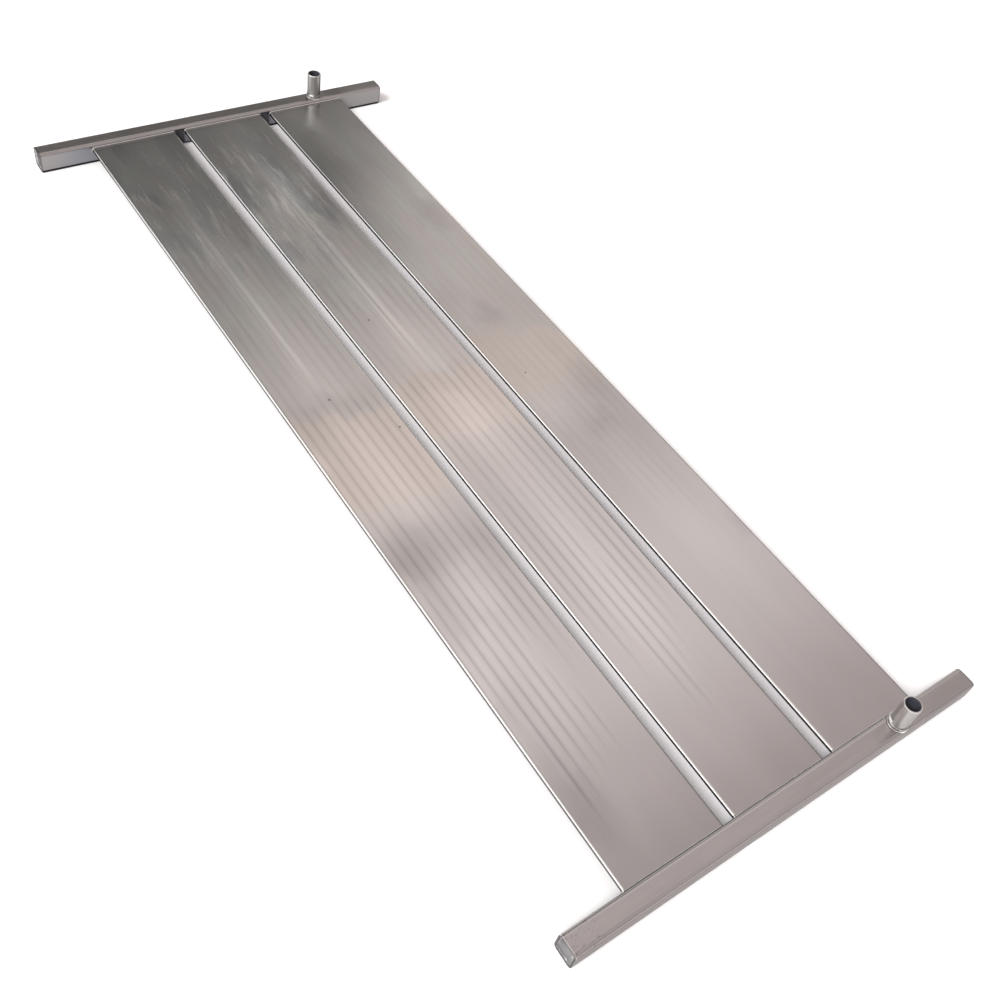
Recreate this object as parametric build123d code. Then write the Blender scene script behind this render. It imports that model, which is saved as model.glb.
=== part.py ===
from build123d import *
import math
import os

# Battery cooling plate: three flat multi-channel extrusions brazed between two header tubes,
# with a hose port on each header. Sizes are millimetres.
# The origin is on the floor, under the middle of the plate.
# X runs along the headers, Y along the panels from the near header to the far one, Z is up.

# Panels: one wide extrusion, full round on both long edges, with a row of coolant channels
panel_names = ["left_panel", "middle_panel", "right_panel"]
panel_width = 80.0
panel_thickness = 4.5
panel_skin = 0.8
channel_count = 10
web_thickness = 1.0
panel_gap = 9.0
exposed_length = 800.0
panel_insertion = 4.0
panel_drop = 3.2

# Headers: rounded rectangular tubes, slotted for the panels, closed at both ends
header_width = 16.0
header_height = 18.5
header_wall = 1.5
header_corner = 3.0
header_inner_corner = 1.0
header_overhang = 47.0

# Caps: plugs set back inside the tube ends, with a weld bead in each corner
cap_thickness = 2.0
cap_recess = 1.0
cap_bead_leg = 0.8

# Ports: collared pipes that stand on the headers, in line with each other
port_inset = 73.5
port_radius = 6.5
port_wall = 1.2
port_height = 24.0
port_lip_chamfer = 0.5
collar_flange = 0.7
collar_height = 2.6
collar_chamfer = 0.4
spigot_step = 0.5
spigot_clearance = 0.9

# Brazing: filler fillets, and the gap that a joint leaves for the filler
joint_gap = 0.1
panel_braze_leg = 0.8
port_braze_leg = 0.5

# Sizes that follow from the ones above
panel_pitch = panel_width + panel_gap
panel_centres = [(index - (len(panel_names) - 1) / 2) * panel_pitch for index in range(len(panel_names))]
panel_centre_z = header_height - panel_drop - panel_thickness / 2
array_width = len(panel_names) * panel_width + (len(panel_names) - 1) * panel_gap
header_length = array_width + 2 * header_overhang
header_inner_width = header_width - 2 * header_wall
header_inner_height = header_height - 2 * header_wall
near_header_y = -(exposed_length + header_width) / 2
far_header_y = -near_header_y
port_x = header_length / 2 - port_inset
port_bore = port_radius - port_wall
collar_radius = port_radius + collar_flange
spigot_radius = port_radius - spigot_step
spigot_length = panel_drop - spigot_clearance


def rounded_bar(width, height, corner, length):
    """A bar of rounded rectangular section along X, centred on X and on its section."""
    section = Plane.YZ * RectangleRounded(width, height, corner)
    return extrude(section, amount=length / 2, both=True)


def flat_bar(width, thickness, start, end):
    """A bar with full round edges that runs along Y from start to end."""
    section = Plane.XZ.offset(-start) * SlotOverall(width, thickness)
    return extrude(section, amount=start - end)


def header_envelope(centre_y):
    """The outside of a header, as if it were solid."""
    bar = rounded_bar(header_width, header_height, header_corner, header_length)
    return Pos(0, centre_y, header_height / 2) * bar


def header(centre_y):
    """A header tube with a slot for each panel in its inner wall and a port hole in its top."""
    bore = rounded_bar(header_inner_width, header_inner_height, header_inner_corner, header_length)
    tube = header_envelope(centre_y) - Pos(0, centre_y, header_height / 2) * bore
    for centre_x in panel_centres:
        slot = flat_bar(panel_width + 2 * joint_gap, panel_thickness + 2 * joint_gap, 0, centre_y)
        tube -= Pos(centre_x, 0, panel_centre_z) * slot
    port_hole = Cylinder(spigot_radius + joint_gap, 2 * max(header_wall, spigot_length))
    return tube - Pos(port_x, centre_y, header_height) * port_hole


def end_cap(centre_y, side):
    """A plug in one end of a header; side is -1 for the left end and 1 for the right end."""
    section = Rectangle(header_inner_width - 2 * joint_gap, header_inner_height - 2 * joint_gap)
    section = chamfer(section.vertices(), header_inner_corner)
    plug = extrude(Plane.YZ * section, amount=cap_thickness / 2, both=True)
    centre_x = side * (header_length / 2 - cap_recess - cap_thickness / 2)
    return Pos(centre_x, centre_y, header_height / 2) * plug


def end_bead(centre_y, side):
    """The weld bead in the corner between an end cap and the wall of its tube."""
    reach = cap_bead_leg / 2
    ring = rounded_bar(header_inner_width, header_inner_height, header_inner_corner, cap_bead_leg)
    mouth = Plane.YZ.offset(side * reach) * Rectangle(header_inner_width, header_inner_height)
    throat = Plane.YZ.offset(-side * reach) * Rectangle(
        header_inner_width - 2 * cap_bead_leg,
        header_inner_height - 2 * cap_bead_leg,
    )
    ring -= loft([throat.face(), mouth.face()])
    centre_x = side * (header_length / 2 - cap_recess + reach)
    return Pos(centre_x, centre_y, header_height / 2) * ring


def panel():
    """One extruded panel with its coolant channels, centred on Y, at height zero."""
    pitch = panel_width / channel_count
    cavity_height = panel_thickness - 2 * panel_skin
    cavity = SlotOverall(panel_width - 2 * panel_skin, cavity_height)
    web_places = [(index - channel_count / 2) * pitch for index in range(1, channel_count)]
    for place in web_places:
        cavity -= Pos(place, 0) * Rectangle(web_thickness, panel_thickness)
    length = exposed_length + 2 * panel_insertion
    body = flat_bar(panel_width, panel_thickness, -length / 2, length / 2)
    channels = extrude(Plane.XZ * cavity, amount=length / 2, both=True)
    return body - channels


def panel_braze(centre_x, side):
    """The filler fillet where a panel enters a header; side is -1 at the near header."""
    depth = header_corner / 2
    leg = panel_braze_leg + depth
    root_y = side * (exposed_length / 2 + depth)
    tip_y = root_y - side * leg
    base = Plane.XZ.offset(-root_y) * SlotOverall(panel_width + 2 * leg, panel_thickness + 2 * leg)
    wedge = extrude(base, amount=side * leg, taper=45)
    wedge -= flat_bar(panel_width, panel_thickness, tip_y - side * leg, root_y + side * leg)
    wedge = Pos(centre_x, 0, panel_centre_z) * wedge
    return wedge - header_envelope(side * far_header_y)


def port_outline():
    """Half the section of a port pipe: X outwards from its axis, Y up from its seat."""
    border = Polyline(
        (port_bore, -spigot_length),
        (spigot_radius, -spigot_length),
        (spigot_radius, 0),
        (collar_radius, 0),
        (collar_radius, collar_height),
        (port_radius, collar_height),
        (port_radius, port_height),
        (port_bore, port_height),
        close=True,
    )
    outline = make_face(border)
    lip = outline.vertices().sort_by_distance((port_radius, port_height))[0]
    outline = chamfer(lip, port_lip_chamfer)
    collar_edge = outline.vertices().sort_by_distance((collar_radius, collar_height))[0]
    return chamfer(collar_edge, collar_chamfer)


def port(centre_y):
    """A port pipe: spigot in the header's hole, collar seated on the header, lipped pipe above."""
    pipe = revolve(Plane.XZ * port_outline(), Axis.Z)
    return Pos(port_x, centre_y, header_height) * pipe


def port_braze(centre_y):
    """The filler ring that seals a port's collar to the rounded top of its header."""
    inner = spigot_radius + joint_gap
    outer = collar_radius + port_braze_leg
    border = Polyline(
        (inner, -header_corner),
        (outer, -header_corner),
        (outer, 0),
        (collar_radius, port_braze_leg),
        (inner, port_braze_leg),
        close=True,
    )
    ring = Pos(0, 0, header_height) * revolve(Plane.XZ * make_face(border), Axis.Z)
    ring &= Box(2 * outer, header_width, 2 * (header_height + port_braze_leg))
    return Pos(port_x, centre_y, 0) * ring - header_envelope(centre_y) - port(centre_y)


def build():
    """Every piece of the plate, by name."""
    pieces = {}
    headers = {"near": near_header_y, "far": far_header_y}
    sides = {"left": -1, "right": 1}
    for end, centre_y in headers.items():
        pieces[f"{end}_header"] = header(centre_y)
        pieces[f"{end}_port"] = port(centre_y)
        pieces[f"{end}_port_braze"] = port_braze(centre_y)
        for side_name, side in sides.items():
            pieces[f"{end}_{side_name}_end_cap"] = end_cap(centre_y, side)
            pieces[f"{end}_{side_name}_end_bead"] = end_bead(centre_y, side)
    extrusion = panel()
    for name, centre_x in zip(panel_names, panel_centres):
        pieces[name] = Pos(centre_x, 0, panel_centre_z) * extrusion
        for end, centre_y in headers.items():
            pieces[f"{end}_{name}_braze"] = panel_braze(centre_x, math.copysign(1, centre_y))
    return pieces


def main():
    os.makedirs("parts", exist_ok=True)
    for name, piece in build().items():
        export_step(piece, f"parts/{name}.step")


main()
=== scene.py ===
import math

import bpy
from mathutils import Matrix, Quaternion, Vector, noise


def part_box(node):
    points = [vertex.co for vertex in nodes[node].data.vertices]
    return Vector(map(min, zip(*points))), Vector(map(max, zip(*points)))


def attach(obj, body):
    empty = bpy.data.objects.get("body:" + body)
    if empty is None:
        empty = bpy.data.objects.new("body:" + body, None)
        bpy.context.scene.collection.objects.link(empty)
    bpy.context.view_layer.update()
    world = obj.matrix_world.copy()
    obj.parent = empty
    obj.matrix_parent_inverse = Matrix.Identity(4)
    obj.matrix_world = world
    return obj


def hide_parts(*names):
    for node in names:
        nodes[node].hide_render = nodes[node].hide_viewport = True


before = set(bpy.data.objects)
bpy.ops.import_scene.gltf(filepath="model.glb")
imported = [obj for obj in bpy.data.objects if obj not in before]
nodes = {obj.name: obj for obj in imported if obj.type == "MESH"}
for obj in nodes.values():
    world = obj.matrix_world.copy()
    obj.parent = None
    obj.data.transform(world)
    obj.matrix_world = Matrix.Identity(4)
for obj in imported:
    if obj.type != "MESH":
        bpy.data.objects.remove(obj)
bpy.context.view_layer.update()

# Battery cooling plate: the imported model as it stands, with bare metal finishes, fine-lipped ports and
# lumpy solder and weld beads. Metres, in the part's own frame: X runs along the headers, Y along the
# panels from the near header to the far one, and Z is up.

MM = 0.001

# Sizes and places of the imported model, in millimetres
HEADER_END = 176.0  # from the middle of the plate to each end of a header
HEADER_FACE = 400.0  # from the middle of the plate to the inner face of each header
HEADER_CORNER = 3.0
TUBE_WIDTH, TUBE_HEIGHT, TUBE_CORNER = 13.0, 15.5, 1.0  # the inside of a header
PANEL_WIDTH, PANEL_THICKNESS = 80.0, 4.5
PANEL_PITCH = 89.0
CHANNEL_PITCH = 8.0
BORE_RADIUS, SPIGOT_RADIUS, PIPE_RADIUS, COLLAR_RADIUS = 5.3, 6.0, 6.5, 7.2


def centre_of(node):
    """The middle of a node's box at rest."""
    low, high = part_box(node)
    return (low + high) / 2


header_low, header_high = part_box("near_header")
header_top = header_high.z / MM
header_half_width = (header_high.y - header_low.y) / 2 / MM
panel_low, panel_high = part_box("middle_panel")
panel_middle_z = (panel_high.z + panel_low.z) / 2 / MM
port_axis = centre_of("near_port") / MM
port_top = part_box("near_port")[1].z / MM


# Camera: where the photograph was taken from, fitted to the plate's edges

camera_data = bpy.data.cameras.new("camera")
camera_data.sensor_width = 36
camera_data.lens = 39.461
camera = bpy.data.objects.new("camera", camera_data)
bpy.context.scene.collection.objects.link(camera)
bpy.context.scene.camera = camera
camera.location = (-0.39856, -0.50224, 0.62247)
aim = Vector((-0.01769, -0.11354, 0)) - camera.location
camera.rotation_mode = "QUATERNION"
roll = Quaternion((0, 0, 1), math.radians(13.367))
camera.rotation_quaternion = aim.to_track_quat("-Z", "Y") @ roll
bpy.context.scene.view_settings.view_transform = "Standard"


class Graph:
    """A node tree that is built with one short call for each node. A colour is three numbers."""

    def __init__(self, tree):
        self.tree = tree
        tree.nodes.clear()

    def put(self, socket, value):
        if isinstance(value, bpy.types.NodeSocket):
            self.tree.links.new(value, socket)
        elif socket.type == "RGBA":
            socket.default_value = (*value, 1)
        else:
            socket.default_value = value

    def node(self, kind, inputs=None, **settings):
        made = self.tree.nodes.new("ShaderNode" + kind)
        for name, value in settings.items():
            setattr(made, name, value)
        for name, value in (inputs or {}).items():
            self.put(made.inputs[name], value)
        return made

    def math(self, operation, *values):
        made = self.node("Math", operation=operation)
        for socket, value in zip(made.inputs, values):
            self.put(socket, value)
        return made.outputs[0]

    def minus(self, first, second):
        return self.math("SUBTRACT", first, second)

    def times(self, product, *factors):
        for factor in factors:
            product = self.math("MULTIPLY", product, factor)
        return product

    def plus(self, level, share, gain=1.0):
        """level + share * gain"""
        return self.math("MULTIPLY_ADD", share, gain, level)

    def lift(self, level, share, gain):
        """level * (1 + share * gain): lighter where the share is 1, or darker with a gain under 0."""
        return self.math("MULTIPLY", level, self.plus(1.0, share, gain))

    def vary(self, level, grain, amount):
        """The level with some of a noise about 0.5 added."""
        return self.plus(level, self.minus(grain, 0.5), amount)

    def off(self, value, place):
        """How far a value is from a place, on either side."""
        return self.math("ABSOLUTE", self.minus(value, place))

    def vector(self, operation, *values):
        made = self.node("VectorMath", operation=operation)
        for socket, value in zip(made.inputs, values):
            self.put(socket, value)
        return made.outputs["Value" if operation == "LENGTH" else "Vector"]

    def split(self, vector):
        return self.node("SeparateXYZ", {"Vector": vector}).outputs[:]

    def join(self, x, y, z=0.0):
        return self.node("CombineXYZ", {"X": x, "Y": y, "Z": z}).outputs[0]

    def normal(self):
        """How far the surface faces along X, Y and Z."""
        return self.split(self.node("NewGeometry").outputs["Normal"])

    def step(self, value, start, end):
        """Rises smoothly from 0 at start to 1 at end, or falls if end is the lower."""
        inputs = {"Value": value, "From Min": min(start, end), "From Max": max(start, end)}
        if start > end:
            inputs.update({"To Min": 1, "To Max": 0})
        return self.node("MapRange", inputs, interpolation_type="SMOOTHSTEP").outputs[0]

    def band(self, value, start, full, last, end):
        """Rises smoothly from 0 at start to 1 at full, and falls again from last to end."""
        return self.times(self.step(value, start, full), self.step(value, end, last))

    def curve(self, value, *stops):
        """A level or colour that follows (value, level) stops."""
        start, end = stops[0][0], stops[-1][0]
        place = self.node("MapRange", {"Value": value, "From Min": start, "From Max": end})
        ramp = self.node("ValToRGB", {"Fac": place.outputs[0]})
        ramp.color_ramp.interpolation = "EASE"
        points = ramp.color_ramp.elements
        while len(points) < len(stops):
            points.new(0.5)
        for point, (at, level) in zip(points, stops):
            point.position = (at - start) / (end - start)
            colour = level if isinstance(level, tuple) else (level, level, level)
            point.color = (*colour, 1)
        return ramp.outputs[0]

    def noise(self, vector, scale=1.0, detail=2.0):
        """Smooth noise about 0.5."""
        inputs = {"Vector": vector, "Scale": scale, "Detail": detail, "Roughness": 0.5}
        return self.node("TexNoise", inputs).outputs[0]

    def mix(self, share, first, second):
        made = self.node("Mix", data_type="RGBA")
        for socket, value in zip((made.inputs[0], made.inputs[6], made.inputs[7]), (share, first, second)):
            self.put(socket, value)
        return made.outputs[2]

    def shade(self, colour, level):
        """The colour made lighter or darker by a level."""
        return self.vector("MULTIPLY", colour, level)


# Light: a pale floor, a soft key light high at the left, and a room of soft grey fields

WHITE = (1, 1, 1)

# The ceiling's colours, from over the near header to beyond the far one, by the direction's Y over its Z
ceiling_tones = (
    (-0.60, (0.66, 0.59, 0.58)),
    (0.02, (0.55, 0.48, 0.47)),
    (0.18, (0.55, 0.48, 0.47)),
    (0.25, (0.78, 0.69, 0.68)),
    (0.33, (0.93, 0.85, 0.84)),
    (0.44, (1.04, 0.97, 0.95)),
    (0.52, (0.95, 0.88, 0.86)),
    (0.60, (0.84, 0.77, 0.75)),
    (0.68, (0.88, 0.80, 0.77)),
    (0.75, (0.97, 0.85, 0.80)),
    (0.83, (0.93, 0.82, 0.77)),
    (0.865, (0.76, 0.69, 0.67)),
    (1.00, (0.70, 0.63, 0.61)),
    (1.12, (0.44, 0.42, 0.40)),
    (1.30, (0.20, 0.20, 0.19)),
    (1.46, (0.105, 0.11, 0.107)),
    (1.54, (0.045, 0.05, 0.047)),
)


def pale_rays(g):
    """1 for rays that should see the pale background: the camera's, and those in metal or glass."""
    path = g.node("LightPath").outputs
    seen = g.math("MAXIMUM", path["Is Glossy Ray"], path["Is Transmission Ray"])
    return path["Is Camera Ray"], seen


def studio_world():
    """A ceiling, light over the near half and dark at the back, and a bright window low at the left."""
    world = bpy.data.worlds.new("soft_studio")
    bpy.context.scene.world = world
    world.use_nodes = True
    g = Graph(world.node_tree)
    x, y, z = g.split(g.node("TexCoord").outputs["Generated"])
    height = g.math("MAXIMUM", z, 0.05)
    across, along = g.math("DIVIDE", x, height), g.math("DIVIDE", y, height)
    flat_x, flat_y, _ = g.split(g.vector("NORMALIZE", g.join(x, y)))

    # The ceiling's fields lie at a slant, and farther back in the far right corner
    corner = g.times(g.step(across, 0.72, 0.87), g.step(along, 0.75, 1.0))
    place = g.plus(g.plus(along, g.minus(across, 0.66), -0.24), corner, -0.24)
    ceiling = g.curve(place, *ceiling_tones)
    ceiling = g.shade(ceiling, g.plus(1.0, g.step(across, 0.36, 0.12), -0.25))
    near_left = g.times(g.step(across, 0.25, -0.05), g.step(along, -0.15, -0.5))
    ceiling = g.mix(near_left, ceiling, (1.10, 1.02, 1.00))
    ceiling = g.mix(g.step(along, -1.0, -1.3), ceiling, (0.42, 0.41, 0.40))

    # The walls are grey, darker at the right, and light at the far end
    walls = g.mix(g.step(flat_x, -0.3, 0.2), (0.42, 0.40, 0.40), (0.12, 0.12, 0.12))
    far_wall = g.times(g.step(z, 0.44, 0.32), g.step(flat_y, 0.3, 0.7))
    walls = g.mix(far_wall, walls, (0.85, 0.80, 0.78))
    walls = g.mix(g.step(flat_y, -0.4, -0.8), walls, (0.50, 0.45, 0.44))
    room = g.mix(g.step(z, 0.50, 0.34), ceiling, walls)

    # The window and a narrow light beside it show in the panels' rounded left edges
    window = g.times(g.step(flat_x, -0.38, -0.66), g.step(flat_y, -0.35, 0.05))
    window = g.times(window, g.band(z, 0.16, 0.22, 0.50, 0.62))
    shine = g.curve(flat_y, (0.45, 2.4), (0.60, 2.2), (0.73, 1.6), (0.80, 1.1), (0.86, 0.7))
    room = g.mix(window, room, shine)
    strip = g.times(g.band(flat_x, -0.80, -0.73, -0.69, -0.62), g.step(flat_y, 0.0, -0.1))
    strip = g.times(strip, g.step(z, 0.66, 0.60))
    room = g.mix(strip, room, (1.6, 1.6, 1.6))

    # The camera sees white, and so does metal that mirrors the horizon
    camera_ray, mirror_ray = pale_rays(g)
    horizon = g.times(mirror_ray, g.step(z, 0.04, 0.01))
    room = g.mix(g.math("MAXIMUM", camera_ray, horizon), room, WHITE)
    background = g.node("Background", {"Color": room, "Strength": 1.0})
    g.node("OutputWorld", {"Surface": background.outputs[0]})


def pale_floor():
    """A white floor, with a painted shadow where it meets the far header, and a faint painted tint of shade
    under the plate.
    """
    reach, depth, soft = 40, 0.0002, 0.001
    mesh = bpy.data.meshes.new("floor")
    corners = [(-reach, -reach, 0), (reach, -reach, 0), (reach, reach, 0), (-reach, reach, 0)]
    mesh.from_pydata(corners, [], [(0, 1, 2, 3)])
    floor = bpy.data.objects.new("floor", mesh)
    bpy.context.scene.collection.objects.link(floor)
    floor.location.z = -depth
    material = bpy.data.materials.new("pale_floor")
    material.use_nodes = True
    g = Graph(material.node_tree)
    x, y, _ = g.split(g.node("TexCoord").outputs["Object"])
    width, length = g.math("ABSOLUTE", x), g.math("ABSOLUTE", y)
    low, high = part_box("far_header")
    # A painted contact shadow: the floor is dark under the far header's footprint
    painted_contact_shadow = g.band(y, low.y, low.y + soft, high.y - soft, high.y)
    painted_contact_shadow = g.times(painted_contact_shadow, g.step(width, high.x, high.x - soft))
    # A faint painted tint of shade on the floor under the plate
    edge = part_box("right_panel")[1]
    painted_shade_tint = g.times(g.step(width, edge.x + 0.004, edge.x - 0.012), g.step(length, edge.y, edge.y - 0.01))
    colour = g.mix(painted_shade_tint, (0.93, 0.93, 0.93), (0.93, 0.885, 0.90))
    matt = g.node("BsdfDiffuse", {"Color": g.mix(painted_contact_shadow, colour, (0.10, 0.10, 0.11))})

    # The floor that the camera and the metal see is lifted to white, and the camera's lifted more in the left
    # gap, as painted light on the shaded floor there
    camera_ray, mirror_ray = pale_rays(g)
    light = g.times(g.math("MAXIMUM", camera_ray, mirror_ray), g.plus(0.09, painted_contact_shadow, -0.09))
    painted_gap_light = g.times(g.band(x, -0.044, -0.040, -0.030, -0.026), g.plus(0.11, y, -0.06))
    glow = g.node("Emission", {"Color": WHITE, "Strength": g.plus(light, camera_ray, painted_gap_light)})
    both = g.node("AddShader")
    g.put(both.inputs[0], matt.outputs[0])
    g.put(both.inputs[1], glow.outputs[0])
    g.node("OutputMaterial", {"Surface": both.outputs[0]})
    mesh.materials.append(material)


def key_light():
    """A wide soft sun from the left, which the metal doesn't mirror."""
    data = bpy.data.lights.new("key", "SUN")
    data.angle = math.radians(24)
    data.energy = 2.7
    lamp = bpy.data.objects.new("key", data)
    lamp.visible_glossy = False
    bpy.context.scene.collection.objects.link(lamp)
    lamp.location = (-0.95, -0.16, 1.0)
    lamp.rotation_mode = "QUATERNION"
    lamp.rotation_quaternion = (-lamp.location).to_track_quat("-Z", "Y")


studio_world()
pale_floor()
key_light()


# Finishes: bare aluminium. Texture places are in millimetres, from the part's own frame.

BARE_METAL = (0.605, 0.59, 0.585)


def start_metal(name):
    material = bpy.data.materials.new(name)
    material.use_nodes = True
    g = Graph(material.node_tree)
    place = g.vector("MULTIPLY", g.node("TexCoord").outputs["Object"], (1 / MM, 1 / MM, 1 / MM))
    return material, g, place


def finish_metal(g, colour, rough, height, depth, grain=None, anisotropic=0.0, metallic=1.0):
    """Joins colour, roughness and bump to a metallic shader.

    depth is the bump's, in millimetres, and grain is the way that the die lines run.
    """
    shader = g.node("BsdfPrincipled", {"Base Color": colour, "Roughness": rough, "Metallic": metallic})
    g.put(shader.inputs["Specular Tint"], (0.6, 0.6, 0.6))
    bump = g.node("Bump", {"Height": height, "Distance": depth * MM, "Strength": 1.0})
    g.put(shader.inputs["Normal"], bump.outputs[0])
    if grain:
        g.put(shader.inputs["Anisotropic"], anisotropic)
        normal = g.node("NewGeometry").outputs["Normal"]
        g.put(shader.inputs["Tangent"], g.vector("CROSS_PRODUCT", normal, grain))
    g.node("OutputMaterial", {"Surface": shader.outputs[0]})


def from_port_axis(g, x, y):
    """The way out from the far port's axis in plan, or from the near one's with Y mirrored."""
    return g.join(g.minus(x, port_axis.x), g.plus(port_axis.y, g.math("ABSOLUTE", y)))


# Each panel's looks, with places across the panel from its middle, and along it from the near header:
#   seed: where its noise starts
#   clarity: how clear its web lines are
#   lines_at, lines_from: the place across it where the web lines start first, and from where along it
#   warm_from, warm_to: where its warm band, a painted reflection, starts and ends
#   spine_at, spine_gain: where the light line down its middle runs, and how light that is
#   wiping: how wiped its far end looks
#   tilting: how much lighter the right side is than the middle there, as a painted sheen
#   edge_gain: how much lighter its rounded right edge is as a painted highlight, or darker as painted shade
#       below 0
#   tones: how light it is along its length, a painted reflection of the room
#   specks: dark specks, as (across, along)
#   clouds: lighter or darker clouds, some of them painted reflections such as the far port's, as (across,
#       along, half width, half length, gain)
panel_looks = {
    "left_panel": dict(
        seed=11.0, clarity=1.0, lines_at=-6.0, lines_from=-85.0, warm_from=300.0, warm_to=402.0,
        spine_at=-2.0, spine_gain=0.25, wiping=0.5, tilting=-0.16, edge_gain=0.35,
        tones=(
            (0, 0.84), (60, 0.90), (120, 0.99), (200, 0.99), (250, 0.89),
            (310, 1.09), (430, 1.04), (590, 1.02), (680, 0.97), (800, 0.90),
        ),
        specks=((-0.8, 421.4), (33.6, 373.0)),
        clouds=(
            (-28.0, 55.0, 24.0, 60.0, -0.20),
            (-28.0, 172.0, 24.0, 50.0, 0.15),
            (-16.0, 268.0, 40.0, 38.0, -0.16),
            (0.0, 222.0, 40.0, 34.0, 0.10),
            (0.0, 412.0, 60.0, 26.0, -0.14),
            (-26.0, 760.0, 26.0, 60.0, 0.20),
            (12.0, 246.0, 32.0, 22.0, 0.10),
            (-38.0, 228.0, 15.0, 32.0, 0.12),
            (-38.0, 370.0, 13.0, 32.0, 0.11),
            (-34.0, 792.0, 26.0, 24.0, 0.12),
            (-36.0, 636.0, 13.0, 32.0, 0.10),
        ),
    ),
    "middle_panel": dict(
        seed=37.0, clarity=1.0, lines_at=4.0, lines_from=-45.0, warm_from=335.0, warm_to=414.0,
        spine_at=3.0, spine_gain=0.20, wiping=0.8, tilting=-0.14, edge_gain=0.25,
        tones=(
            (0, 0.90), (60, 0.98), (120, 1.04), (300, 1.0), (350, 1.06),
            (450, 1.02), (560, 0.94), (670, 1.11), (750, 0.95), (800, 0.93),
        ),
        specks=((-15.7, 489.7),),
        clouds=(
            (0.0, 404.0, 40.0, 26.0, -0.12),
            (26.0, 640.0, 26.0, 60.0, -0.22),
            (-28.0, 690.0, 24.0, 60.0, -0.22),
            (2.0, 700.0, 16.0, 70.0, 0.20),
            (0.0, 352.0, 50.0, 28.0, 0.06),
        ),
    ),
    "right_panel": dict(
        seed=71.0, clarity=0.30, lines_at=0.0, lines_from=60.0, warm_from=345.0, warm_to=428.0,
        spine_at=0.0, spine_gain=0.0, wiping=0.1, tilting=0.22, edge_gain=-0.50,
        tones=(
            (0, 0.96), (180, 1.0), (300, 0.88), (400, 0.94), (450, 0.88),
            (540, 1.0), (610, 1.04), (700, 0.87), (800, 0.88),
        ),
        specks=((-19.7, 381.0),),
        clouds=(
            (26.0, 350.0, 28.0, 44.0, -0.12),
            (22.0, 300.0, 40.0, 40.0, -0.04),
            (-26.0, 342.0, 26.0, 50.0, 0.14),
            (26.0, 600.0, 28.0, 50.0, -0.16),
            (-26.0, 700.0, 28.0, 90.0, -0.14),
            (-26.0, 455.0, 26.0, 34.0, 0.08),
            (26.0, 400.0, 24.0, 30.0, 0.06),
            (4.0, 309.0, 22.0, 24.0, -0.10),
            (-7.0, 455.0, 18.0, 26.0, -0.14),
            (21.0, 399.0, 20.0, 22.0, -0.10),
            (-8.0, 768.0, 13.0, 26.0, 0.16),
            (6.0, 786.0, 6.0, 14.0, 0.16),
            (39.0, 176.0, 13.0, 34.0, -0.11),
            (39.0, 738.0, 13.0, 32.0, -0.10),
        ),
    ),
}

# Along every panel: how clear the web lines' painted reflections are, and how much shows of the light middle
# line, dull metal,
# wiped streaks, stains, rough patches, and the painted sheen that makes the two sides differ
web_clarity = (
    (0, 1.25), (200, 1.2), (240, 1.0), (285, 0.75), (330, 1.0), (400, 1.0),
    (425, 0.45), (475, 0.45), (510, 0.7), (560, 0.45), (620, 0.3), (700, 0.0),
)
spine_reach = ((0, 0.0), (420, 0.0), (480, 1.0), (640, 1.0), (700, 0.4), (740, 0.0), (800, 0.0))
dull_reach = ((0, 0.0), (380, 0.0), (480, 0.7), (560, 1.0), (720, 1.0), (800, 0.6))
wiped_reach = ((0, 0.0), (560, 0.0), (620, 0.7), (650, 0.9), (720, 1.0), (750, 0.4), (800, 0.0))
stained_reach = ((0, 0.0), (530, 0.0), (590, 1.0), (700, 1.0), (740, 0.3), (800, 0.0))
patchy_reach = ((0, 0.0), (420, 0.0), (540, 1.0), (690, 1.0), (750, 0.3), (800, 0.2))
tilt_reach = ((0, 0.0), (520, 0.0), (620, 1.0), (690, 1.0), (780, 0.0))


def streaks(g, x, s, across, along, seed, detail=3.0):
    """Noise over a panel, with a scale of its own across it and along it."""
    return g.noise(g.join(g.times(x, across), g.times(s, along), seed), detail=detail)


def web_lines(g, x, s, look):
    """The dark lines over a panel's channel walls, and the lighter crowns between them: painted reflections
    of slight dips over the walls.

    Each line starts at a place of its own near the near header, and fades beyond the middle of the panel.
    """
    web = g.math("ROUND", g.math("DIVIDE", x, CHANNEL_PITCH))
    own = g.noise(g.join(g.times(web, 3.7), look["seed"], 0.5))
    onset = g.plus(g.plus(look["lines_from"], own, 200.0), g.off(x, look["lines_at"]), 2.2)
    begun = g.step(g.minus(s, onset), 0.0, 70.0)
    ragged = g.step(streaks(g, web, s, 3.7, 0.012, look["seed"], 2.0), 0.25, 0.5)
    presence = g.times(begun, g.curve(s, *web_clarity), ragged)
    from_web = g.math("PINGPONG", x, CHANNEL_PITCH / 2)
    line = g.times(g.step(from_web, 1.7, 0.2), presence)
    crown_sheen = g.times(g.step(from_web, 1.6, 3.8), presence)
    return line, crown_sheen


def clouds_and_specks(g, x, s, haze, look):
    """What a panel's clouds, some of them painted reflections, with edges that the haze makes uneven, and its
    specks add to its level.
    """
    total = 0.0
    for at_x, at_s, wide, long, gain in look["clouds"]:
        aside = g.math("DIVIDE", g.plus(g.minus(x, at_x), haze, 24.0), wide)
        ahead = g.math("DIVIDE", g.plus(g.minus(s, at_s), haze, 50.0), long)
        cloud = g.step(g.vector("LENGTH", g.join(aside, ahead)), 1.0, 0.0)
        total = g.plus(total, cloud, gain)
    for at_x, at_s in look["specks"]:
        distance = g.vector("LENGTH", g.join(g.minus(x, at_x), g.minus(s, at_s)))
        total = g.plus(total, g.step(distance, 1.0, 0.6), -0.75)
    return total


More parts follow.
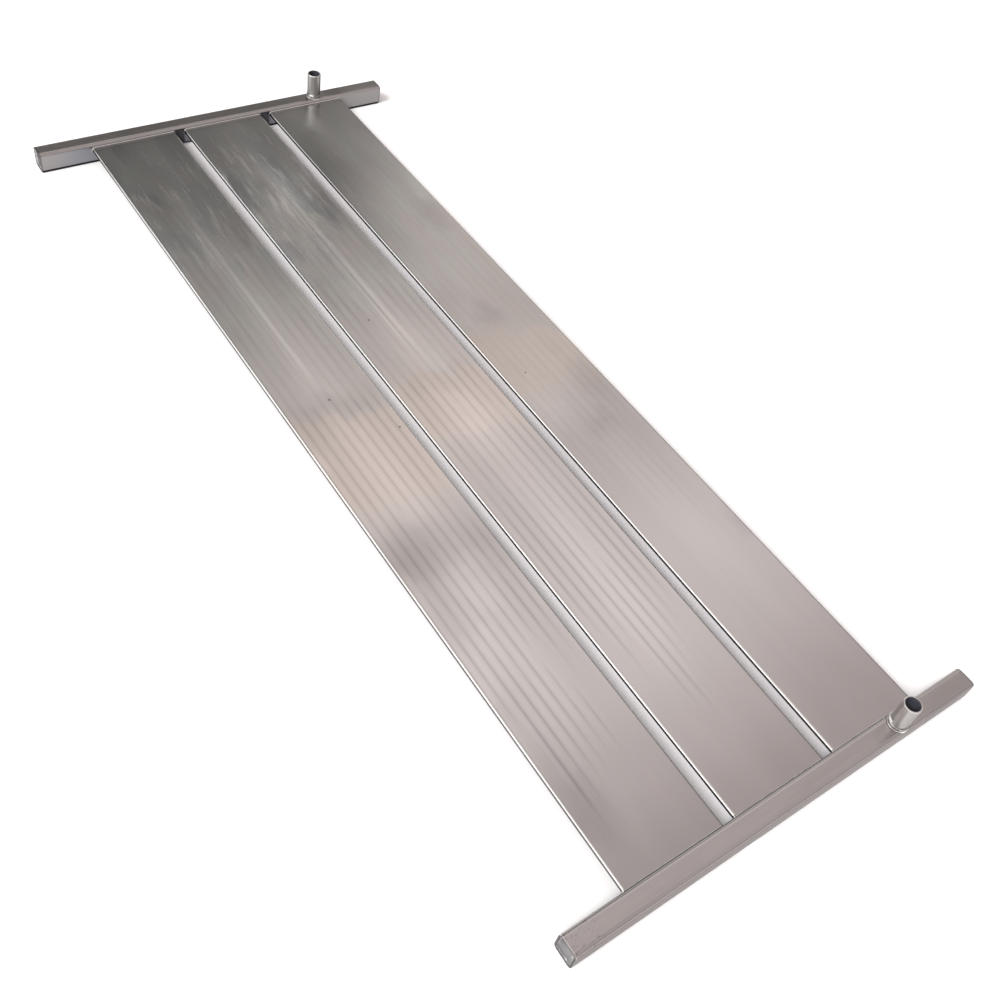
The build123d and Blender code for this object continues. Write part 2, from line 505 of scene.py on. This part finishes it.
def panel_finish(name):
    """Mill finish of an extruded panel: die lines, painted reflections of its web lines and of a band in a
    warmer tone, and dull patches at the far end.
    """
    look = panel_looks[name]
    seed, clarity, wiping = look["seed"], look["clarity"], look["wiping"]
    material, g, place = start_metal(name)
    x, y, _ = g.split(place)
    x = g.minus(x, centre_of(name).x / MM)
    s = g.plus(HEADER_FACE, y)
    turned, _, upward = g.normal()

    # Die lines run the whole length, under soft clouds
    haze = g.minus(streaks(g, x, s, 0.05, 0.03, seed), 0.5)
    die = streaks(g, x, s, 0.9, 0.003, seed)
    broad = streaks(g, x, s, 0.03, 0.008, seed, 2.0)
    line, crown_sheen = web_lines(g, x, s, look)
    # A painted sheen: the middle of the panel is lighter from a little way past the near end
    middle = g.times(g.step(g.math("ABSOLUTE", x), 26.0, 4.0), g.step(s, 60.0, 170.0))

    # The far half has a light line down the middle with a fainter one beside it, wisps, blots and patches
    stain = streaks(g, x, s, 0.08, 0.018, seed)
    streak = streaks(g, x, s, 0.30, 0.014, seed)
    wisp = streaks(g, x, s, 0.20, 0.022, seed)
    blot = streaks(g, x, s, 0.045, 0.018, seed)
    spine = g.step(g.off(x, look["spine_at"]), 3.2, 0.8)
    second = g.step(g.off(x, look["spine_at"] - 5.5), 1.6, 0.4)
    spine = g.times(g.plus(spine, second, 0.6), g.plus(0.4, streak, 1.2), g.curve(s, *spine_reach))
    dull = g.times(g.curve(s, *dull_reach), g.step(stain, 0.40, 0.60))
    wisps = g.times(g.step(wisp, 0.50, 0.70), g.curve(s, *wiped_reach), wiping)
    blots = g.times(g.step(blot, 0.50, 0.60), g.curve(s, *stained_reach), wiping)
    patches = g.math("ADD", g.minus(stain, 0.5), g.minus(streak, 0.5))
    patches = g.times(patches, g.curve(s, *patchy_reach))

    level = g.plus(1.0, line, -0.17 * clarity)
    level = g.plus(level, crown_sheen, 0.05 * clarity)
    level = g.plus(level, middle, 0.10 * clarity)
    level = g.vary(level, die, 0.06)
    level = g.vary(level, broad, 0.16)
    level = g.plus(level, patches, 0.10 + 0.25 * wiping)
    level = g.plus(level, clouds_and_specks(g, x, s, haze, look))
    level = g.plus(level, wisps, 0.26)
    level = g.plus(level, blots, -0.16)
    level = g.plus(level, spine, look["spine_gain"])
    # Painted reflection: the level along the panel follows the room's light
    level = g.times(level, g.curve(s, *look["tones"]))
    # Painted sheen: one side of the far half lighter than the other
    tilt = g.times(g.math("DIVIDE", x, PANEL_WIDTH / 2), g.curve(s, *tilt_reach))
    level = g.lift(level, tilt, look["tilting"])

    # Painted shade darkens the rounded edges low down and at the lower left, a painted highlight brightens
    # the upper left, and painted light or shade of its own lightens or darkens the right edge
    left = g.step(turned, 0.0, -0.2)
    painted_edge_shade = g.math("MAXIMUM", g.step(upward, 0.40, 0.0), g.times(g.step(upward, 0.62, 0.40), left))
    level = g.lift(level, painted_edge_shade, -0.72)
    painted_edge_highlight = g.times(left, g.band(upward, 0.45, 0.62, 0.88, 0.97))
    level = g.lift(level, painted_edge_highlight, 0.60)
    level = g.lift(level, g.step(turned, 0.1, 0.4), look["edge_gain"])

    # The warm band across the panel is a painted reflection
    reflection_place = g.plus(g.plus(s, x, 0.25), haze, 50.0)
    start, end = look["warm_from"], look["warm_to"]
    warm_reflection = g.band(reflection_place, start - 5, start + 20, end - 6, end + 6)
    colour = g.mix(dull, BARE_METAL, (0.58, 0.595, 0.58))
    colour = g.mix(warm_reflection, colour, (0.635, 0.602, 0.578))
    colour = g.mix(blots, colour, (0.575, 0.595, 0.61))
    rough = g.plus(g.vary(0.26, broad, 0.08), wisps, 0.12)
    height = g.plus(die, line, -0.5)
    finish_metal(g, g.shade(colour, level), rough, height, 0.0008, (0, 1, 0), 0.5)
    return material


# How light the far header's top is, along X, as painted shade: darkest just to the right of its port
far_top_tones = (
    (-160, 0.92), (-140, 0.86), (-112, 0.80), (-84, 0.69), (-28, 0.70), (0, 0.66), (56, 0.63),
    (84, 0.66), (108, 0.72), (120, 0.52), (128, 0.48), (137, 0.59), (152, 0.65), (176, 0.61),
)


def header_finish():
    """Mill finish along the tube, a little stained, with saw marks on its cut ends, and painted shade and
    highlights.
    """
    material, g, place = start_metal("header_metal")
    x, y, z = g.split(place)
    width = g.math("ABSOLUTE", x)
    turned, facing, upward = g.normal()
    die = g.noise(g.join(g.times(x, 0.006), g.times(y, 0.9), g.times(z, 0.9)), detail=3.0)
    broad = g.noise(g.join(g.times(x, 0.02), g.times(y, 0.1), z), detail=3.0)
    saw = g.noise(g.join(0.0, g.times(y, 0.2), g.times(z, 2.5)))
    cut = g.step(g.math("ABSOLUTE", turned), 0.7, 0.9)
    near = g.step(y, 0.0, -1.0)
    far = g.minus(1.0, near)
    outside = g.times(near, g.step(facing, 0.0, -0.3))
    side = g.step(g.plus(upward, outside, -0.30), 0.45, 0.20)

    # Painted shade makes the sides darker than the top, and the cut ends and the last millimetre before them
    # are darker too
    level = g.vary(g.vary(1.0, die, 0.08), broad, 0.12)
    level = g.plus(level, g.times(cut, g.minus(saw, 0.5)), 0.5)
    level = g.lift(level, side, g.plus(-0.52, outside, 0.06))
    level = g.lift(level, cut, g.plus(-0.50, near, 0.20))
    tip = g.step(width, HEADER_END - 1.6, HEADER_END - 0.4)
    tip = g.times(tip, g.math("MAXIMUM", g.step(x, 0.0, 1.0), far))
    level = g.lift(level, tip, -0.40)

    # Painted shade on the rounded edges towards the panels, and on the far header's top
    inner = g.times(near, g.step(facing, 0.08, 0.30))
    level = g.lift(level, inner, -0.16)
    front = g.times(far, g.step(facing, -0.1, -0.3), g.step(upward, 0.4, 0.6))
    level = g.lift(level, front, -0.14)
    top = g.times(far, g.step(upward, 0.80, 0.96))
    level = g.lift(level, top, g.minus(g.curve(x, *far_top_tones), 1.0))

    # A dark line round the filler of each port, and a painted highlight on the near header's left lip
    from_port = g.vector("LENGTH", from_port_axis(g, x, y))
    ringed = g.times(g.step(g.off(from_port, 8.0), 0.45, 0.15), g.step(upward, 0.70, 0.85))
    level = g.plus(level, ringed, -0.45)
    lip = g.times(g.step(x, 0.9 - HEADER_END, 0.6 - HEADER_END), near, g.minus(1.0, cut))
    level = g.plus(level, lip, 0.42)

    # Painted shade on the far header's underside, and the near header and its right end made darker
    level = g.lift(level, g.times(g.step(upward, -0.2, -0.45), far), -0.90)
    level = g.lift(level, near, -0.08)
    level = g.lift(level, g.times(near, g.step(x, 105.0, 150.0)), -0.09)

    # Painted shade on the inner sides in the gaps between the panels, and the sides at the right and the far
    # one's bluish sides made darker
    inward = g.times(facing, g.plus(-1.0, near, 2.0))
    from_panel_middle = g.math("PINGPONG", width, PANEL_PITCH / 2)
    in_gap = g.times(g.step(from_panel_middle, 38.5, 41.0), g.step(width, 52.0, 51.0))
    between = g.times(in_gap, side, g.step(inward, 0.0, 0.3))
    level = g.lift(level, between, -0.65)
    level = g.lift(level, g.times(side, g.step(x, 120.0, 130.0)), -0.08)
    bluish = g.times(g.band(x, -170.0, -138.0, 120.0, 130.0), side, far)
    level = g.lift(level, bluish, -0.12)

    # Short dark scratches at the near header's left end
    slanted = g.plus(g.times(y, 1.3), x, -0.3)
    scratch = g.noise(g.join(g.times(x, 0.3), slanted, g.times(z, 1.3)), detail=3.0)
    scratches = g.times(g.step(scratch, 0.58, 0.70), g.step(x, -148.0, -160.0), near)
    level = g.plus(level, scratches, -0.45)

    colour = g.mix(bluish, BARE_METAL, (0.575, 0.59, 0.64))
    colour = g.mix(g.times(outside, side), colour, (0.60, 0.535, 0.525))
    rough = g.plus(g.plus(0.20, broad, 0.10), cut, 0.15)
    # The grain leans a little, so that on the cut ends it doesn't run straight out of the surface
    finish_metal(g, g.shade(colour, level), rough, die, 0.001, (1, 0.02, 0.05), 0.3)
    return material


# How light painted reflections make the pipes' sides: the near one's by how far it faces the far header, and
# the far one's by
# how far it faces right and a little towards the near header
near_pipe_reflections = (
    (-0.98, 0.80), (-0.80, 0.75), (-0.40, 0.83), (-0.26, 0.94),
    (-0.14, 1.18), (0.0, 1.42), (0.20, 1.50), (0.98, 1.50),
)
far_pipe_reflections = (
    (-1.0, 0.45), (-0.82, 0.50), (-0.68, 0.72), (-0.53, 1.20), (-0.40, 1.37), (-0.24, 0.94), (-0.09, 0.98),
    (0.06, 1.18), (0.21, 1.06), (0.35, 0.93), (0.50, 0.80), (0.65, 0.60), (0.80, 0.48),
)


def port_finish():
    """Drawn pipe: faint lines along it, a clean faced rim, a dull bore, and painted white glints at its foot.
    """
    material, g, place = start_metal("port_metal")
    x, y, z = g.split(place)
    turned, facing, _ = g.normal()
    height = g.minus(z, header_top)
    outward = from_port_axis(g, x, y)
    radius = g.vector("LENGTH", outward)
    rim = g.step(z, port_top - 1.0, port_top - 0.4)
    bore = g.step(radius, 5.75, 5.5)
    skin = g.minus(1.0, bore)
    near = g.times(g.step(y, 0.0, -1.0), skin)
    far = g.times(g.step(y, 0.0, 1.0), skin)
    drawn = g.noise(g.join(x, y, g.times(z, 0.03)), 0.9, 3.0)
    spots = g.noise(place, 0.4, 3.0)

    # Painted shade in the corners above the collar and at its foot and on the right side, and blotches at the
    # back
    level = g.vary(g.vary(1.0, drawn, 0.36), spots, 0.16)
    level = g.plus(level, g.times(g.step(height, 3.4, 2.7), g.step(radius, 6.85, 6.6)), -0.5)
    level = g.plus(level, g.times(g.step(height, 1.2, 0.6), g.step(radius, 7.0, 7.15)), -0.6)
    level = g.plus(level, g.times(g.step(turned, 0.65, 0.85), skin), -0.30)
    blotched = g.times(g.step(facing, 0.1, 0.4), g.step(g.noise(place, 0.55), 0.46, 0.62))
    level = g.plus(level, blotched, -0.10)

    # Painted reflections: bands of lighter and darker down the sides of each pipe
    near_reflection = g.minus(g.curve(facing, *near_pipe_reflections), 1.0)
    level = g.lift(level, g.times(near, g.minus(1.0, rim)), near_reflection)
    sideways = g.plus(g.times(turned, 0.88), facing, -0.48)
    far_reflection = g.minus(g.curve(sideways, *far_pipe_reflections), 1.0)
    level = g.lift(level, far, far_reflection)
    near_colour = g.mix(rim, (0.58, 0.56, 0.55), (0.80, 0.79, 0.78))
    near_colour = g.mix(bore, near_colour, (0.075, 0.078, 0.095))
    far_colour = g.mix(rim, (0.555, 0.56, 0.545), (0.66, 0.67, 0.65))
    colour = g.shade(g.mix(far, near_colour, far_colour), level)

    # Painted white glints above each collar, and a painted highlight in an arc on the far rim
    above_collar = g.band(height, 2.2, 2.7, 3.4, 5.0)
    near_glint = g.times(near, g.step(turned, 0.0, -0.2), g.band(facing, 0.15, 0.35, 0.75, 0.92))
    far_glint = g.times(far, g.step(facing, 0.1, -0.2), g.band(sideways, -0.62, -0.45, -0.12, 0.10))
    painted_glint = g.times(above_collar, g.math("MAXIMUM", near_glint, far_glint))
    out_x, out_y, _ = g.split(g.vector("NORMALIZE", outward))
    rim_highlight = g.step(g.plus(g.times(out_y, -0.65), out_x, -0.76), 0.78, 0.96)
    white = g.math("MAXIMUM", painted_glint, g.times(far, rim, rim_highlight, 0.7))
    colour = g.mix(white, colour, (0.83, 0.82, 0.82))

    rough = g.plus(g.plus(0.28, spots, 0.10), bore, 0.25)
    rough = g.plus(rough, g.step(height, 3.0, 2.7), -0.12)
    metallic = g.plus(g.plus(1.0, bore, -0.8), white, -0.9)
    finish_metal(g, colour, rough, drawn, 0.0008, metallic=metallic)
    return material


def cap_finish():
    """Blotched plugs, darker in the far header, with painted shade at the upper inner side of the near one.
    """
    material, g, place = start_metal("cap_metal")
    _, y, z = g.split(place)
    blotch = g.noise(place, 0.35, 4.0)
    fine = g.noise(place, 3.0)
    level = g.vary(1.0, blotch, 0.55)
    # Painted shade at the upper inner side of the near cap, in the tube's recess
    level = g.plus(level, g.times(g.step(y, -409.0, -402.5), g.step(z, 7.0, 15.0)), -0.40)
    level = g.plus(level, g.step(y, 0.0, 1.0), -0.30)
    finish_metal(g, g.shade((0.37, 0.365, 0.375), level), g.plus(0.30, fine, 0.2), fine, 0.008)
    return material


def weld_finish():
    """The weld round a cap: grey, with bright and dark lumps."""
    material, g, place = start_metal("weld_metal")
    flow = g.noise(place, 0.7, 3.0)
    fine = g.noise(place, 3.0)
    level = g.plus(0.55, g.step(flow, 0.40, 0.66), 0.9)
    finish_metal(g, g.shade((0.42, 0.42, 0.43), level), g.plus(0.30, fine, 0.2), flow, 0.05, metallic=0.7)
    return material


def filler_finish():
    """Bright solder, with a painted highlight at the left of each port."""
    material, g, place = start_metal("filler_metal")
    x, y, _ = g.split(place)
    turned, _, _ = g.normal()
    flow = g.noise(place, 0.9, 3.0)
    fine = g.noise(place, 4.0)
    from_port = g.vector("LENGTH", from_port_axis(g, x, y))
    port_side_highlight = g.times(g.step(from_port, 9.5, 8.5), g.step(turned, 0.2, -0.5))
    level = g.plus(g.vary(1.0, flow, 0.24), port_side_highlight, 0.32)
    finish_metal(g, g.shade((0.74, 0.73, 0.72), level), g.plus(0.14, fine, 0.16), flow, 0.015)
    return material


panel_metals = {name: panel_finish(name) for name in panel_looks}
header_metal = header_finish()
port_metal = port_finish()
cap_metal = cap_finish()
filler_metal = filler_finish()
weld_metal = weld_finish()
for name, node in nodes.items():
    if name in panel_metals:
        node.material_slots[0].material = panel_metals[name]
    elif name.endswith("header"):
        node.material_slots[0].material = header_metal
    elif name.endswith("cap"):
        node.material_slots[0].material = cap_metal


# Detailed pieces: each is a closed section swept round a closed path. Sizes here are millimetres.

def sweep(name, rings, material, node):
    """A closed skin over rings of points, each ring joined to the next and the last to the first."""
    count, size = len(rings), len(rings[0])
    points = [tuple(value * MM for value in point) for ring in rings for point in ring]
    faces = []
    for i in range(count):
        for j in range(size):
            here, on = i * size, (i + 1) % count * size
            faces.append((here + j, here + (j + 1) % size, on + (j + 1) % size, on + j))
    mesh = bpy.data.meshes.new(name)
    mesh.from_pydata(points, [], faces)
    mesh.polygons.foreach_set("use_smooth", [True] * len(faces))
    mesh.materials.append(material)
    piece = bpy.data.objects.new(name, mesh)
    bpy.context.scene.collection.objects.link(piece)
    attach(piece, "root")
    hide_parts(node)


def waver(x, y, z, size):
    """Smooth noise from -1 to 1, with lumps of about the given size."""
    return noise.fractal(Vector((x / size, y / size, z / size)), 0.6, 2.0, 2)


def rounding(centre, radius, start, end, steps):
    """Points on an arc in the section plane, from one angle to another, in degrees."""
    turns = [math.radians(start + (end - start) * i / steps) for i in range(steps + 1)]
    return [(centre[0] + radius * math.cos(turn), centre[1] + radius * math.sin(turn)) for turn in turns]


def sunk(past):
    """How far a header's rounded edge lies below its flat face, at a place past where the flat ends."""
    past = max(past, 0.0)
    return HEADER_CORNER - math.sqrt(max(HEADER_CORNER ** 2 - past ** 2, 0.0))


def directions(steps):
    """The cosine and sine of evenly spaced directions round an axis."""
    turns = [math.tau * i / steps for i in range(steps)]
    return [(math.cos(turn), math.sin(turn)) for turn in turns]


def ring_towards(centre, cos, sin, section):
    """A section of (radius, height over the header) points, turned to a direction round a port's axis."""
    return [(centre.x + r * cos, centre.y + r * sin, header_top + z) for r, z in section]


def port_section():
    """Half section of a port: a spigot, a collar with a rounded edge, and a pipe with a rounded lip."""
    section = [(BORE_RADIUS, -2.3), (SPIGOT_RADIUS, -2.3), (SPIGOT_RADIUS, -0.1)]
    section += [(COLLAR_RADIUS, height) for height in (-0.1, 0.8, 1.6)]
    section += rounding((6.75, 2.15), 0.45, 0, 90, 6)
    section += [(6.62, 2.54), (6.54, 2.62)]
    section += [(PIPE_RADIUS, height) for height in (2.8, 4.0, 8.0, 14.0, 20.0, 23.0)]
    section += rounding((5.95, 23.45), 0.55, 0, 90, 8)
    section += rounding((5.75, 23.55), 0.45, 90, 180, 6)
    section += [(BORE_RADIUS, height) for height in (22.5, 16.0, 8.0, 2.0)]
    return section


def add_port(end):
    """A port's spigot, collar and pipe, as one piece turned round its axis."""
    centre = centre_of(f"{end}_port") / MM
    rings = [ring_towards(centre, cos, sin, port_section()) for cos, sin in directions(96)]
    sweep(f"{end}_port_pipe", rings, port_metal, f"{end}_port")


def add_port_ring(end):
    """The filler round a port's collar, as a lumpy ring that follows the header's rounded top."""
    centre = centre_of(f"{end}_port") / MM
    rows = 6
    flat = header_half_width - HEADER_CORNER
    rings = []
    for cos, sin in directions(120):
        x, y = centre.x + COLLAR_RADIUS * cos, centre.y + COLLAR_RADIUS * sin
        reach = 0.46 + 0.06 * waver(x, y, 0, 2.0)
        rise = 0.45 + 0.10 * waver(x, y, 9, 2.5)
        section = []
        for j in range(rows + 1):
            bend = j / rows * math.pi / 2
            r = COLLAR_RADIUS + reach * math.sin(bend)
            drop = sunk(abs(r * sin) - flat)
            section.append((r, -drop * math.sin(bend) ** 0.5 + rise * math.cos(bend)))
        inner, outer = COLLAR_RADIUS - 0.3, COLLAR_RADIUS + reach
        section.append((outer - 0.1, -sunk(abs(outer * sin) - flat) - 0.3))
        section += [(inner, -sunk(abs(COLLAR_RADIUS * sin) - flat) - 0.4), (inner, rise)]
        rings.append(ring_towards(centre, cos, sin, section))
    sweep(f"{end}_port_ring", rings, filler_metal, f"{end}_port_braze")


def stadium(width, thickness, spacing):
    """Points round a flat bar with full round edges, as (across, up, outward across, outward up)."""
    radius = thickness / 2
    flat = width / 2 - radius
    runs, turns = int(2 * flat / spacing), 20
    points = []
    for side in (1, -1):
        for i in range(runs):
            points.append((side * (-flat + 2 * flat * i / runs), side * radius, 0.0, side))
        for i in range(turns):
            turn = side * math.pi / 2 - math.pi * i / turns
            cos, sin = math.cos(turn), math.sin(turn)
            points.append((side * flat + radius * cos, radius * sin, cos, sin))
    return points


def rounded_rectangle(width, height, corner, spacing):
    """Points round a rounded rectangle, as (across, up, inward across, inward up)."""
    steps = 8
    points = []
    half_w, half_h = width / 2 - corner, height / 2 - corner
    corners = [(half_w, half_h, 0), (-half_w, half_h, 90), (-half_w, -half_h, 180), (half_w, -half_h, 270)]
    for index, (cx, cy, start) in enumerate(corners):
        for i in range(steps + 1):
            turn = math.radians(start + 90 * i / steps)
            cos, sin = math.cos(turn), math.sin(turn)
            points.append((cx + corner * cos, cy + corner * sin, -cos, -sin))
        # The straight side runs on from the corner's last point
        nx, ny, _ = corners[(index + 1) % 4]
        ax, ay = cx + corner * cos, cy + corner * sin
        bx, by = nx + corner * cos, ny + corner * sin
        runs = int(math.hypot(bx - ax, by - ay) / spacing)
        for i in range(1, runs):
            share = i / runs
            points.append((ax + (bx - ax) * share, ay + (by - ay) * share, -cos, -sin))
    return points


def fillet(out, up, bulge, behind, below):
    """A bead in the corner of a wall and a base, as (out from the wall, up from the base).

    Its face bows from (out, 0) to (0, up), and it closes behind the wall and below the base.
    """
    rows = 6
    section = []
    for j in range(rows + 1):
        share = j / rows
        bow = 2 * share * (1 - share) * bulge
        section.append((((1 - share) ** 2 + bow) * out, (share ** 2 + bow) * up))
    return section + [(-behind, up), (-behind, -below), (out, -below)]


def add_panel_bead(end, panel):
    """The filler fillet where a panel enters a header: uneven, with a lump at its left corner."""
    side = -1 if end == "near" else 1
    centre_x = centre_of(panel).x / MM
    flat_top = header_top - HEADER_CORNER
    lump_across, lump_up = -39.0, 1.6
    rings = []
    for across, up, out_x, out_z in stadium(PANEL_WIDTH, PANEL_THICKNESS, 0.5):
        x, z = centre_x + across, panel_middle_z + up
        lump = math.exp(-((across - lump_across) ** 2 + (up - lump_up) ** 2) / 2.2)
        along = 0.62 + 0.13 * waver(x, z, side * 7, 5.0) + 0.05 * waver(x, z, side * 3, 1.2) + 0.75 * lump
        rise = 0.62 + 0.12 * waver(x, z, side * 11, 6.0) + 0.05 * lump
        ring = []
        for back, away in fillet(along, rise, 0.30 + 0.5 * lump, 0.3, 0.12):
            px, pz = x + out_x * away, z + out_z * away
            share = min(max(away / rise, 0.0), 1.0)
            ring.append((px, side * (HEADER_FACE - back + sunk(pz - flat_top) * share), pz))
        rings.append(ring)
    sweep(f"{end}_{panel}_bead", rings, filler_metal, f"{end}_{panel}_braze")


def add_end_weld(end, side_name):
    """The weld that seals a cap inside its tube: heavy on the outer side, beaded elsewhere."""
    side = -1 if side_name == "left" else 1
    outer = -1 if end == "near" else 1
    header = centre_of(f"{end}_header") / MM
    low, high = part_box(f"{end}_{side_name}_end_cap")
    face = (low.x if side < 0 else high.x) / MM
    rings = []
    for across, up, in_y, in_z in rounded_rectangle(TUBE_WIDTH, TUBE_HEIGHT, TUBE_CORNER, 0.35):
        y, z = header.y + across, header.z + up
        heavy = max(-in_y * outer, 0.0) ** 2
        out = min(0.62 + 0.18 * waver(y, z, side * 5, 1.6) + 0.30 * heavy, 0.97)
        spread = 0.85 + 0.25 * waver(y, z, side * 9, 2.2) + 1.5 * heavy
        section = fillet(out, spread, 0.42, 0.15, 0.1)
        rings.append([(face + side * a, y + in_y * b, z + in_z * b) for a, b in section])
    sweep(f"{end}_{side_name}_end_weld", rings, weld_metal, f"{end}_{side_name}_end_bead")


for end in ("near", "far"):
    add_port(end)
    add_port_ring(end)
    for panel in panel_looks:
        add_panel_bead(end, panel)
    for side_name in ("left", "right"):
        add_end_weld(end, side_name)
